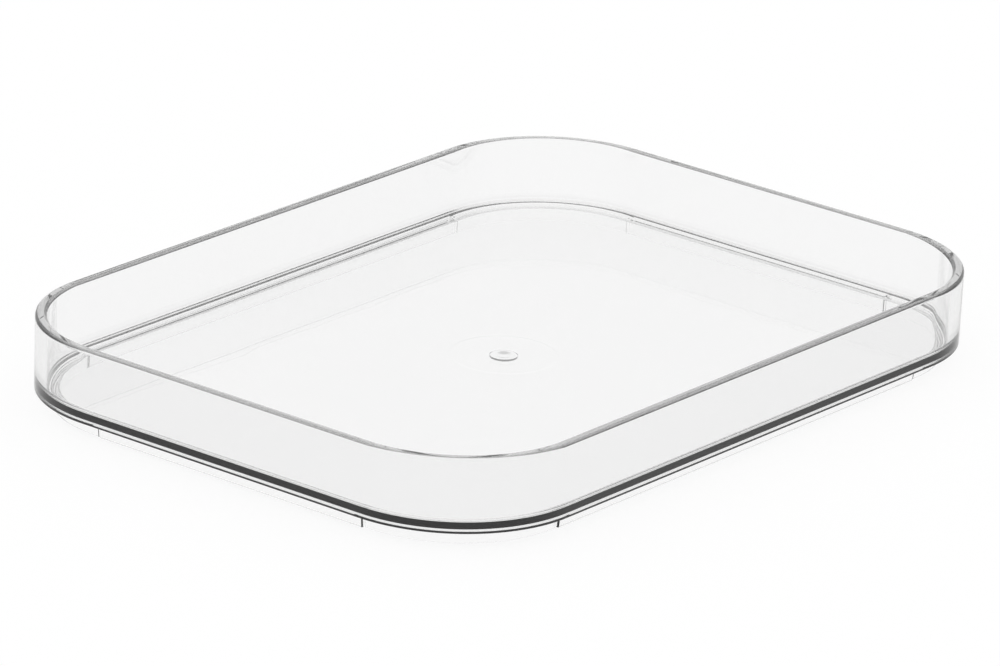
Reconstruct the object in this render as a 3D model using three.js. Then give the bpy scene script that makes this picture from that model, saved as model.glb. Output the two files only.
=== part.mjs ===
import * as THREE from 'three';

// A shallow clear tray: one upright wall round a flat floor, on a foot that is set in under the wall.
// Millimetres, +Z up, origin at the middle of the base. Front is -Y and right is +X.

// Driving dimensions
const LENGTH = 195;
const WIDTH = 142;
const HEIGHT = 21;
const CORNER_RADIUS = 31.4;
const WALL_THICKNESS = 2.65;
const RIM_ROUND = 0.4;
const LEDGE_HEIGHT = 3.9;
const LEDGE_WIDTH = 1.9;
const UNDERSIDE_DROP = 0.2;
const FLOOR_THICKNESS = 1.9;
const INSIDE_FILLET = 1.4;
const RAIL_THICKNESS = 1.5;
const RAIL_END_MARGIN = 2.4;
const CORNER_RECESS = 0.45;
const LEDGE_FILLET = 1.6;
const FOOT_ROUND = 0.3;
const GATE_DIAMETER = 6.4;
const GATE_DEPTH = 0.4;

// Fineness of the curves
const CORNER_STEPS = 16;
const FILLET_STEPS = 5;
const ROUND_STEPS = 3;
const GATE_SIDES = 32;

// Places worked out from the driving dimensions
const HALF_LENGTH = LENGTH / 2;
const HALF_WIDTH = WIDTH / 2;
const FLOOR_UNDERSIDE = LEDGE_HEIGHT - UNDERSIDE_DROP;
const FLOOR_TOP = FLOOR_UNDERSIDE + FLOOR_THICKNESS;
const FLOOR_SETBACK = WALL_THICKNESS + INSIDE_FILLET;
const RAIL_SETBACK = LEDGE_WIDTH + LEDGE_FILLET;
const FOOT_INNER_SETBACK = RAIL_SETBACK + RAIL_THICKNESS;
const CORNER_CENTRE_X = HALF_LENGTH - CORNER_RADIUS;
const CORNER_CENTRE_Y = HALF_WIDTH - CORNER_RADIUS;
const RAIL_END_X = CORNER_CENTRE_X - RAIL_END_MARGIN;
const RAIL_END_Y = CORNER_CENTRE_Y - RAIL_END_MARGIN;
const QUARTER_TURN = Math.PI / 2;

// The corners counterclockwise from the back right one
const CORNERS = [
  { name: 'back_right', signX: 1, signY: 1 },
  { name: 'back_left', signX: -1, signY: 1 },
  { name: 'front_left', signX: -1, signY: -1 },
  { name: 'front_right', signX: 1, signY: -1 },
];

// Clear plastic
const CLEAR = { color: 0xf4f6f6, roughness: 0.08, metalness: 0, transparent: true, opacity: 0.3 };

// A round stretch of a section as points of setback and height, its angles counted in quarter turns
function arcPoints(centreSetback, centreHeight, radius, startQuarter, endQuarter, steps) {
  const points = [];
  for (let step = 0; step <= steps; step += 1) {
    const angle = QUARTER_TURN * (startQuarter + ((endQuarter - startQuarter) * step) / steps);
    const setback = centreSetback + radius * Math.cos(angle);
    const height = centreHeight + radius * Math.sin(angle);
    points.push(new THREE.Vector2(setback, height));
  }
  return points;
}

// A station is a point on the tray's outline with the direction that points straight in
function station(x, y, inwardX, inwardY) {
  return { x, y, inwardX, inwardY };
}

// The stations round one corner
function cornerStations({ signX, signY }, quadrant) {
  const stations = [];
  for (let step = 0; step <= CORNER_STEPS; step += 1) {
    const angle = QUARTER_TURN * (quadrant + step / CORNER_STEPS);
    const outX = Math.cos(angle);
    const outY = Math.sin(angle);
    const x = signX * CORNER_CENTRE_X + CORNER_RADIUS * outX;
    const y = signY * CORNER_CENTRE_Y + CORNER_RADIUS * outY;
    stations.push(station(x, y, -outX, -outY));
  }
  return stations;
}

// The stations of the whole outline
function outlineStations() {
  return CORNERS.flatMap(cornerStations);
}

// A section swept counterclockwise past stations: a ring, or a length with a cap at each end
function sweep(section, stations, isRing) {
  const positions = [];
  stations.forEach(({ x, y, inwardX, inwardY }) => {
    section.forEach((point) => {
      positions.push(x + inwardX * point.x, y + inwardY * point.x, point.y);
    });
  });
  const index = [];
  const count = section.length;
  const spans = isRing ? stations.length : stations.length - 1;
  for (let span = 0; span < spans; span += 1) {
    const here = span * count;
    const next = ((span + 1) % stations.length) * count;
    for (let side = 0; side < count; side += 1) {
      const after = (side + 1) % count;
      index.push(here + side, next + after, next + side);
      index.push(here + side, here + after, next + after);
    }
  }
  if (!isRing) {
    const last = (stations.length - 1) * count;
    THREE.ShapeUtils.triangulateShape(section, []).forEach(([a, b, c]) => {
      index.push(a, c, b);
      index.push(last + a, last + b, last + c);
    });
  }
  const geometry = new THREE.BufferGeometry();
  geometry.setAttribute('position', new THREE.Float32BufferAttribute(positions, 3));
  geometry.setIndex(index);
  geometry.computeVertexNormals();
  return geometry;
}

// The wall's section: flat ledge, a small step down to the floor's underside, inside fillet, rounded rim
function wallSection() {
  const rimCentre = HEIGHT - RIM_ROUND;
  const filletCentre = FLOOR_TOP + INSIDE_FILLET;
  return [
    new THREE.Vector2(0, LEDGE_HEIGHT),
    new THREE.Vector2(LEDGE_WIDTH, LEDGE_HEIGHT),
    new THREE.Vector2(LEDGE_WIDTH, FLOOR_UNDERSIDE),
    new THREE.Vector2(FLOOR_SETBACK, FLOOR_UNDERSIDE),
    ...arcPoints(FLOOR_SETBACK, filletCentre, INSIDE_FILLET, 3, 2, FILLET_STEPS),
    ...arcPoints(WALL_THICKNESS - RIM_ROUND, rimCentre, RIM_ROUND, 0, 1, ROUND_STEPS),
    ...arcPoints(RIM_ROUND, rimCentre, RIM_ROUND, 1, 2, ROUND_STEPS),
  ];
}

// The foot's section: a fillet down from the underside, a rounded base, and flat on top under the floor
function footSection(setback) {
  const filletCentre = FLOOR_UNDERSIDE - LEDGE_FILLET;
  return [
    ...arcPoints(setback - LEDGE_FILLET, filletCentre, LEDGE_FILLET, 1, 0, FILLET_STEPS),
    ...arcPoints(setback + FOOT_ROUND, FOOT_ROUND, FOOT_ROUND, 2, 3, ROUND_STEPS),
    ...arcPoints(FOOT_INNER_SETBACK - FOOT_ROUND, FOOT_ROUND, FOOT_ROUND, 3, 4, ROUND_STEPS),
    new THREE.Vector2(FOOT_INNER_SETBACK, FLOOR_UNDERSIDE),
  ];
}

// One upright wall all the way round
function makeSideWall() {
  return sweep(wallSection(), outlineStations(), true);
}

// The flat floor inside the wall's fillet
function makeFloorPanel() {
  const points = outlineStations().map(({ x, y, inwardX, inwardY }) => (
    new THREE.Vector2(x + inwardX * FLOOR_SETBACK, y + inwardY * FLOOR_SETBACK)
  ));
  const shape = new THREE.Shape(points);
  const geometry = new THREE.ExtrudeGeometry(shape, { depth: FLOOR_THICKNESS, bevelEnabled: false });
  geometry.translate(0, 0, FLOOR_UNDERSIDE);
  return geometry;
}

// The round pad under the middle of the floor, where the plastic ran into the mould
function makeGatePad() {
  const radius = GATE_DIAMETER / 2;
  const geometry = new THREE.CylinderGeometry(radius, radius, GATE_DEPTH, GATE_SIDES);
  geometry.rotateX(QUARTER_TURN);
  geometry.translate(0, 0, FLOOR_UNDERSIDE - GATE_DEPTH / 2);
  return geometry;
}

// A straight rail of the foot along one side
function makeFootRail(stations) {
  return sweep(footSection(RAIL_SETBACK), stations, false);
}

// The foot round one corner, recessed behind the rails and meeting their ends
function makeFootCorner(corner, quadrant) {
  const { signX, signY } = corner;
  const onShortSide = station(signX * HALF_LENGTH, signY * RAIL_END_Y, -signX, 0);
  const onLongSide = station(signX * RAIL_END_X, signY * HALF_WIDTH, 0, -signY);
  const [first, last] = signX === signY ? [onShortSide, onLongSide] : [onLongSide, onShortSide];
  const stations = [first, ...cornerStations(corner, quadrant), last];
  return sweep(footSection(RAIL_SETBACK + CORNER_RECESS), stations, false);
}

// The two ends of each rail
const RAILS = {
  right: [station(HALF_LENGTH, -RAIL_END_Y, -1, 0), station(HALF_LENGTH, RAIL_END_Y, -1, 0)],
  back: [station(RAIL_END_X, HALF_WIDTH, 0, -1), station(-RAIL_END_X, HALF_WIDTH, 0, -1)],
  left: [station(-HALF_LENGTH, RAIL_END_Y, 1, 0), station(-HALF_LENGTH, -RAIL_END_Y, 1, 0)],
  front: [station(-RAIL_END_X, -HALF_WIDTH, 0, 1), station(RAIL_END_X, -HALF_WIDTH, 0, 1)],
};

const tray = new THREE.Group();

function addPart(name, geometry) {
  const mesh = new THREE.Mesh(geometry, new THREE.MeshStandardMaterial(CLEAR));
  mesh.name = name;
  tray.add(mesh);
}

addPart('side_wall', makeSideWall());
addPart('floor_panel', makeFloorPanel());
addPart('gate_pad', makeGatePad());
CORNERS.forEach((corner, quadrant) => {
  addPart(`foot_corner_${corner.name}`, makeFootCorner(corner, quadrant));
});
Object.entries(RAILS).forEach(([side, stations]) => {
  addPart(`foot_rail_${side}`, makeFootRail(stations));
});

export default tray;
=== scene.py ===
import math

import bmesh
import bpy
from mathutils import Matrix, Vector


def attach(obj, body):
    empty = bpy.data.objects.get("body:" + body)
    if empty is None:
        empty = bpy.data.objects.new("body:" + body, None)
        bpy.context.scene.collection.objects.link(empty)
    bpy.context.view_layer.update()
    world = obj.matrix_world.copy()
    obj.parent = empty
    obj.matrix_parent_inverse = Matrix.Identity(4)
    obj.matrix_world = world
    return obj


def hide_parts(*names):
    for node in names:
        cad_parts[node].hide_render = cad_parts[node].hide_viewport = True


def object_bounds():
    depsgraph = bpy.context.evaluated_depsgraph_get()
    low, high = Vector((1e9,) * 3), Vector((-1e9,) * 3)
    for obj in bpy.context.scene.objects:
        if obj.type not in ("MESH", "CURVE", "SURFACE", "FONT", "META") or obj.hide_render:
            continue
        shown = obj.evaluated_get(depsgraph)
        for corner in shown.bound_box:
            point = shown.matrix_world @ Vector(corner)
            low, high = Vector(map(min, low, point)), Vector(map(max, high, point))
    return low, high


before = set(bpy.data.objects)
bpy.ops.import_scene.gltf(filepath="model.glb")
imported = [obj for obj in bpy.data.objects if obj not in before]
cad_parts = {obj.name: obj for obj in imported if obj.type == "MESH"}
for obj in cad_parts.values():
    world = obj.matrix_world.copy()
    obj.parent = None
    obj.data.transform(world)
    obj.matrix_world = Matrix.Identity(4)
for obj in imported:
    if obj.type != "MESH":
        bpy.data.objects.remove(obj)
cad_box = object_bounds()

MM = 0.001

# Sizes of the tray in millimetres: setbacks are from the outside of the wall, heights from the base
LENGTH, WIDTH, HEIGHT = ((cad_box[1] - cad_box[0]) / MM)[:]
CORNER_RADIUS = 31.4
WALL_THICKNESS = 2.65
WALL_LEAN = 0.15
RIM_ROUND = 0.8
LEDGE_HEIGHT = 3.83
LEDGE_WIDTH = 1.9
LEDGE_FILLET = 1.6
LEDGE_EDGE_ROUND = 0.175
FLOOR_UNDERSIDE = 3.66
FLOOR_TOP = 5.56
INSIDE_FILLET = 1.5
RAIL_THICKNESS = 1.5
RAIL_END_MARGIN = 2.4
RAIL_END_SLOPE = 0.02
CORNER_RECESS = 0.4
SLOT_WIDTH = 0.85
SLOT_DEPTH = 0.19
SLOT_END_SLOPE = 0.04
FOOT_ROUND = 0.25
FOOT_TAPER = 0.2
FOOT_ROOT_FILLET = 0.82
RAIL_SETBACK = LEDGE_WIDTH + LEDGE_FILLET
FOOT_INNER_SETBACK = RAIL_SETBACK + RAIL_THICKNESS

# Sizes of the gate mark under the floor in millimetres, with the slope of its dish as a rise per length
GATE_RADIUS = 3.2
GATE_DEPTH = 0.45
GATE_EDGE_BEVEL = 0.06
DISH_RADIUS = 3.0
DISH_SLOPE = 0.0385
NUB_RADIUS = 1.5
NUB_STEP = 0.05
NUB_MIDDLE = 0.1
RING_RADIUS = 12.2
RING_WIDTH = 0.9
RING_RISE = 0.012

# Fineness of the curves, and the shading of the edges between them
CORNER_STEPS = 40
FILLET_STEPS = 12
ROUND_STEPS = 5
RIM_STEPS = 8
GATE_SIDES = 64
RING_STEPS = 6
SHARP_ANGLE = math.radians(35)
LARGE_FACE_WEIGHT = 100

# The plastic, with its absorption per metre and the height of its slow swells in metres
PLASTIC_IOR = 1.57
PLASTIC_TINT = (1.0, 1.0, 1.0, 1.0)
PLASTIC_ABSORPTION = 22.0
ABSORPTION_COLOUR = (0.0, 0.0, 0.0, 1.0)
SWELL_SCALE = 45.0
SWELL_DETAIL = 1.0
SWELL_HEIGHT = 0.00003
HAZE_SCALE = 300.0
HAZE_DETAIL = 4.0
HAZE_FROM, HAZE_TO = 0.35, 0.75
HAZE_ROUGHNESS = 0.02

# The studio: the floor's own glow and what it takes from the light round it make white together
WHITE = (1.0, 1.0, 1.0, 1.0)
FLOOR_DIFFUSE = 0.1
FLOOR_GLOW = 0.9
FLOOR_SIZE = 40.0
FLOOR_GAP = 0.02 * MM
LIGHT_STRENGTH = 1.0
GLOSSY_BOUNCES = 8
CLEAR_BOUNCES = 16

# The camera
CAMERA_TARGET = Vector((0.01848, 0.01587, 0.00127))
CAMERA_DISTANCE = 1.7847
CAMERA_ELEVATION = math.radians(20.057)
CAMERA_AZIMUTH = math.radians(-51.796)
CAMERA_ROLL = math.radians(2.562)
CAMERA_LENS = 283.0
CAMERA_SENSOR = 36.0
CAMERA_REACH = 100.0

# The signs of x and y at the corners, counterclockwise from the back right one
CORNERS = ((1, 1), (-1, 1), (-1, -1), (1, -1))


def arc(centre_setback, centre_height, radius, start, end, steps):
    """Points of setback and height on a round stretch, with its angles in degrees."""
    points = []
    for step in range(steps + 1):
        angle = math.radians(start + (end - start) * step / steps)
        setback = centre_setback + radius * math.cos(angle)
        height = centre_height + radius * math.sin(angle)
        points.append((setback, height))
    return points


def outline(setback, recess, height):
    """One closed line round the tray at a setback, recessed further round the corners.

    Where it is recessed, a fine upright slot parts each end of a rail from the corner.
    """
    half_x, half_y = LENGTH / 2, WIDTH / 2
    centre_x, centre_y = half_x - CORNER_RADIUS, half_y - CORNER_RADIUS
    rail_x, rail_y = centre_x - RAIL_END_MARGIN, centre_y - RAIL_END_MARGIN
    inner = setback + recess
    slot = inner + (SLOT_DEPTH if recess else 0.0)
    rail_end = (
        (0.0, setback),
        (RAIL_END_SLOPE, slot),
        (SLOT_WIDTH - SLOT_END_SLOPE, slot),
        (SLOT_WIDTH, inner),
    )
    radius = CORNER_RADIUS - inner
    points = []
    for quadrant, (sign_x, sign_y) in enumerate(CORNERS):
        turn = []
        for step in range(CORNER_STEPS + 1):
            angle = math.radians(90 * (quadrant + step / CORNER_STEPS))
            x = sign_x * centre_x + radius * math.cos(angle)
            y = sign_y * centre_y + radius * math.sin(angle)
            turn.append((x, y))
        short_side = [(sign_x * (half_x - depth), sign_y * (rail_y + along)) for along, depth in rail_end]
        long_side = [(sign_x * (rail_x + along), sign_y * (half_y - depth)) for along, depth in rail_end]
        if sign_x == sign_y:
            points += short_side + turn + long_side[::-1]
        else:
            points += long_side + turn + short_side[::-1]
    return [(x * MM, y * MM, height * MM) for x, y in points]


def leaned(setback, height):
    """A setback with the wall's lean, which grows from the rim down to the ledge."""
    share = (HEIGHT - height) / (HEIGHT - LEDGE_HEIGHT)
    return setback + WALL_LEAN * min(share, 1.0)


def section():
    """The tray's section from the floor's top edge over the rim and round the foot to the floor's underside.

    Each point is a setback, a further recess at the corners, and a height.
    """
    floor_edge = WALL_THICKNESS + INSIDE_FILLET
    inside = arc(floor_edge, FLOOR_TOP + INSIDE_FILLET, INSIDE_FILLET, 270, 180, FILLET_STEPS)
    rim_centre = HEIGHT - RIM_ROUND
    inside += arc(WALL_THICKNESS - RIM_ROUND, rim_centre, RIM_ROUND, 0, 90, RIM_STEPS)
    outside = arc(RIM_ROUND, rim_centre, RIM_ROUND, 90, 180, RIM_STEPS)
    edge = LEDGE_EDGE_ROUND
    outside += arc(edge, LEDGE_HEIGHT + edge, edge, 180, 270, ROUND_STEPS)
    foot_outer = arc(LEDGE_WIDTH, LEDGE_HEIGHT - LEDGE_FILLET, LEDGE_FILLET, 90, 0, FILLET_STEPS)
    outer_tip = RAIL_SETBACK + FOOT_TAPER + FOOT_ROUND
    foot_outer += arc(outer_tip, FOOT_ROUND, FOOT_ROUND, 180, 270, ROUND_STEPS)
    inner_tip = FOOT_INNER_SETBACK - FOOT_TAPER - FOOT_ROUND
    foot_inner = arc(inner_tip, FOOT_ROUND, FOOT_ROUND, 270, 360, ROUND_STEPS)
    root = FOOT_ROOT_FILLET
    foot_inner += arc(FOOT_INNER_SETBACK + root, FLOOR_UNDERSIDE - root, root, 180, 90, ROUND_STEPS)
    rows = [(leaned(setback, height), 0.0, height) for setback, height in inside + outside]
    rows += [(leaned(setback, height), CORNER_RECESS, height) for setback, height in foot_outer]
    rows += [(leaned(setback, height), 0.0, height) for setback, height in foot_inner]
    return rows


def gate_rows():
    """Radius and height from the faint ring under the floor in to the middle of the gate mark."""
    rows = []
    for step in range(RING_STEPS + 1):
        share = step / RING_STEPS
        eased = share * share * (3 - 2 * share)
        rows.append((RING_RADIUS + RING_WIDTH * (0.5 - share), FLOOR_UNDERSIDE + RING_RISE * eased))
    pad = FLOOR_UNDERSIDE - GATE_DEPTH
    dish = pad + DISH_SLOPE * (DISH_RADIUS - NUB_RADIUS)
    nub = dish - NUB_STEP
    rows.append((GATE_RADIUS, FLOOR_UNDERSIDE + RING_RISE))
    rows.append((GATE_RADIUS, pad + GATE_EDGE_BEVEL))
    rows.append((GATE_RADIUS - GATE_EDGE_BEVEL, pad))
    rows.append((DISH_RADIUS, pad))
    rows.append((NUB_RADIUS, dish))
    rows.append((NUB_RADIUS, nub))
    rows.append((NUB_MIDDLE, nub + DISH_SLOPE * (NUB_RADIUS - NUB_MIDDLE)))
    return rows


def circle(radius, height):
    """One closed line round the gate mark."""
    turns = [2 * math.pi * side / GATE_SIDES for side in range(GATE_SIDES)]
    return [(radius * math.cos(turn) * MM, radius * math.sin(turn) * MM, height * MM) for turn in turns]


def skin(mesh, rings):
    """Faces between neighbouring closed lines."""
    for ring, following in zip(rings, rings[1:]):
        count = len(ring)
        for here in range(count):
            after = (here + 1) % count
            mesh.faces.new((ring[here], ring[after], following[after], following[here]))


def border(mesh, ring):
    """The edges of a closed line."""
    return [mesh.edges.get((here, after)) for here, after in zip(ring, ring[1:] + ring[:1])]


def build_tray():
    """The whole clear moulding as one closed mesh."""
    mesh = bmesh.new()
    body = [[mesh.verts.new(point) for point in outline(*row)] for row in section()]
    gate = [[mesh.verts.new(point) for point in circle(*row)] for row in gate_rows()]
    skin(mesh, body)
    skin(mesh, gate)
    mesh.faces.new(body[0])
    mesh.faces.new(gate[-1])
    underside = border(mesh, body[-1]) + border(mesh, gate[0])
    bmesh.ops.triangle_fill(mesh, edges=underside, use_beauty=True)
    bmesh.ops.recalc_face_normals(mesh, faces=mesh.faces)
    data = bpy.data.meshes.new("tray_moulding")
    mesh.to_mesh(data)
    mesh.free()
    data.shade_smooth()
    data.set_sharp_from_angle(angle=SHARP_ANGLE)
    tray = bpy.data.objects.new("tray_moulding", data)
    bpy.context.scene.collection.objects.link(tray)
    weighted = tray.modifiers.new("even_normals", "WEIGHTED_NORMAL")
    weighted.keep_sharp = True
    weighted.weight = LARGE_FACE_WEIGHT
    return tray


def clear_plastic():
    """Water-clear plastic, with the slow swells of a moulded surface and a trace of fine haze."""
    material = bpy.data.materials.new("clear_plastic")
    material.use_nodes = True
    tree = material.node_tree
    shader = tree.nodes["Principled BSDF"]
    shader.inputs["Base Color"].default_value = PLASTIC_TINT
    shader.inputs["Transmission Weight"].default_value = 1.0
    shader.inputs["IOR"].default_value = PLASTIC_IOR
    place = tree.nodes.new("ShaderNodeTexCoord")
    swells = tree.nodes.new("ShaderNodeTexNoise")
    swells.inputs["Scale"].default_value = SWELL_SCALE
    swells.inputs["Detail"].default_value = SWELL_DETAIL
    bump = tree.nodes.new("ShaderNodeBump")
    bump.inputs["Distance"].default_value = SWELL_HEIGHT
    haze = tree.nodes.new("ShaderNodeTexNoise")
    haze.inputs["Scale"].default_value = HAZE_SCALE
    haze.inputs["Detail"].default_value = HAZE_DETAIL
    spread = tree.nodes.new("ShaderNodeMapRange")
    spread.inputs["From Min"].default_value = HAZE_FROM
    spread.inputs["From Max"].default_value = HAZE_TO
    spread.inputs["To Max"].default_value = HAZE_ROUGHNESS
    absorption = tree.nodes.new("ShaderNodeVolumeAbsorption")
    absorption.inputs["Color"].default_value = ABSORPTION_COLOUR
    absorption.inputs["Density"].default_value = PLASTIC_ABSORPTION
    tree.links.new(place.outputs["Object"], swells.inputs["Vector"])
    tree.links.new(swells.outputs["Fac"], bump.inputs["Height"])
    tree.links.new(bump.outputs["Normal"], shader.inputs["Normal"])
    tree.links.new(place.outputs["Object"], haze.inputs["Vector"])
    tree.links.new(haze.outputs["Fac"], spread.inputs["Value"])
    tree.links.new(spread.outputs["Result"], shader.inputs["Roughness"])
    tree.links.new(absorption.outputs["Volume"], tree.nodes["Material Output"].inputs["Volume"])
    return material


def seen(tree):
    """1 for what the camera sees directly, in a reflection or through the plastic, and 0 for other light."""
    path = tree.nodes.new("ShaderNodeLightPath")
    either = tree.nodes.new("ShaderNodeMath")
    either.operation = "MAXIMUM"
    any_of = tree.nodes.new("ShaderNodeMath")
    any_of.operation = "MAXIMUM"
    tree.links.new(path.outputs["Is Camera Ray"], either.inputs[0])
    tree.links.new(path.outputs["Is Glossy Ray"], either.inputs[1])
    tree.links.new(either.outputs[0], any_of.inputs[0])
    tree.links.new(path.outputs["Is Transmission Ray"], any_of.inputs[1])
    return any_of.outputs[0]


def add_floor():
    """A plain white floor that keeps the tray's shadow, just clear of the foot."""
    bpy.ops.mesh.primitive_plane_add(size=FLOOR_SIZE, location=(0, 0, cad_box[0].z - FLOOR_GAP))
    floor = bpy.context.object
    floor.name = "studio_floor"
    material = bpy.data.materials.new("studio_floor")
    material.use_nodes = True
    tree = material.node_tree
    tree.nodes.clear()
    diffuse = tree.nodes.new("ShaderNodeBsdfDiffuse")
    diffuse.inputs["Color"].default_value = (FLOOR_DIFFUSE, FLOOR_DIFFUSE, FLOOR_DIFFUSE, 1.0)
    level = tree.nodes.new("ShaderNodeMath")
    level.operation = "MULTIPLY"
    level.inputs[1].default_value = FLOOR_GLOW
    glow = tree.nodes.new("ShaderNodeEmission")
    both = tree.nodes.new("ShaderNodeAddShader")
    output = tree.nodes.new("ShaderNodeOutputMaterial")
    tree.links.new(seen(tree), level.inputs[0])
    tree.links.new(level.outputs[0], glow.inputs["Strength"])
    tree.links.new(diffuse.outputs[0], both.inputs[0])
    tree.links.new(glow.outputs[0], both.inputs[1])
    tree.links.new(both.outputs[0], output.inputs["Surface"])
    floor.data.materials.append(material)


def add_surroundings():
    """Soft white light from all round, which is also the backdrop."""
    world = bpy.data.worlds.new("studio")
    bpy.context.scene.world = world
    world.use_nodes = True
    background = world.node_tree.nodes["Background"]
    background.inputs["Color"].default_value = WHITE
    background.inputs["Strength"].default_value = LIGHT_STRENGTH


def add_camera():
    """The camera at the photograph's place."""
    cos_e, sin_e = math.cos(CAMERA_ELEVATION), math.sin(CAMERA_ELEVATION)
    cos_a, sin_a = math.cos(CAMERA_AZIMUTH), math.sin(CAMERA_AZIMUTH)
    back = Vector((sin_a * cos_e, -cos_a * cos_e, sin_e))
    level = Vector((cos_a, sin_a, 0.0))
    upright = back.cross(level)
    right = level * math.cos(CAMERA_ROLL) + upright * math.sin(CAMERA_ROLL)
    up = upright * math.cos(CAMERA_ROLL) - level * math.sin(CAMERA_ROLL)
    data = bpy.data.cameras.new("camera")
    data.sensor_width = CAMERA_SENSOR
    data.lens = CAMERA_LENS
    data.clip_end = CAMERA_REACH
    camera = bpy.data.objects.new("camera", data)
    bpy.context.scene.collection.objects.link(camera)
    turn = Matrix((right, up, back)).transposed().to_4x4()
    camera.matrix_world = Matrix.Translation(CAMERA_TARGET + back * CAMERA_DISTANCE) @ turn
    bpy.context.scene.camera = camera


add_camera()
tray = build_tray()
tray.data.materials.append(clear_plastic())
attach(tray, "root")
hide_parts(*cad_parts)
add_floor()
add_surroundings()
bpy.context.scene.view_settings.view_transform = "Standard"
bpy.context.scene.cycles.glossy_bounces = GLOSSY_BOUNCES
bpy.context.scene.cycles.transmission_bounces = CLEAR_BOUNCES
bpy.context.scene.cycles.max_bounces = CLEAR_BOUNCES
